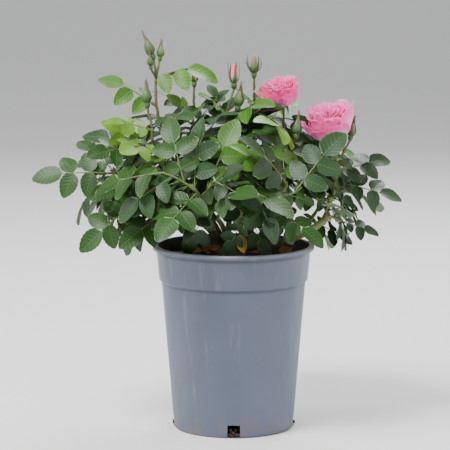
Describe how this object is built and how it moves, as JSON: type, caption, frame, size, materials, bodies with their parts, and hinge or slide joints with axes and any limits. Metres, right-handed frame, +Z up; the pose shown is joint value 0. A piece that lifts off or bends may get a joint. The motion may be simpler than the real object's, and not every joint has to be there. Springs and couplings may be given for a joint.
{
  "type": "potted rose bush",
  "caption": "Low bushy rose in a round plastic nursery pot, with upright flower stems over a wide leafy crown, pink half open blooms and pointed buds.",
  "frame": {"origin": "middle of the pot's flat underside", "axes": "+Z up, -Y towards the side the picture shows, +X to the right of that view"},
  "size_m": [0.4333, 0.3368, 0.4672],
  "materials": {
    "pot": "cool grey moulded plastic, satin, scuffed and dusty",
    "potting_mix": "dark moist compost with bark chips",
    "cane": "green to reddish brown rose bark",
    "foliage": "mid to dark green leaves, semi matte, with pale veins",
    "petal": "pale pink petals, deeper pink inside and at the edges"
  },
  "bodies": {
    "root": {"pot": "pot", "potting_mix": "potting_mix", "rootstock": "cane", "cane_left": "cane", "cane_low_left": "cane", "cane_upright_left": "cane", "cane_middle": "cane", "cane_upright_right": "cane", "cane_cut": "cane", "cane_front_left": "cane", "cane_front_right": "cane", "cane_back_left": "cane", "cane_back_right": "cane", "shoot_left": "foliage", "shoot_upper_left": "foliage", "shoot_low_left": "foliage", "shoot_top_left": "foliage", "shoot_side_left": "foliage", "shoot_middle": "foliage", "shoot_middle_left": "foliage", "shoot_middle_back": "foliage", "shoot_bloom_left": "foliage", "shoot_bloom_right": "foliage", "shoot_right": "foliage", "shoot_low_right": "foliage", "shoot_front_left": "foliage", "shoot_front": "foliage", "shoot_front_right": "foliage", "shoot_low_front": "foliage", "shoot_back_left": "foliage", "shoot_back": "foliage", "shoot_back_right": "foliage", "shoot_low_back": "foliage"}
  },
  "joints": []
}
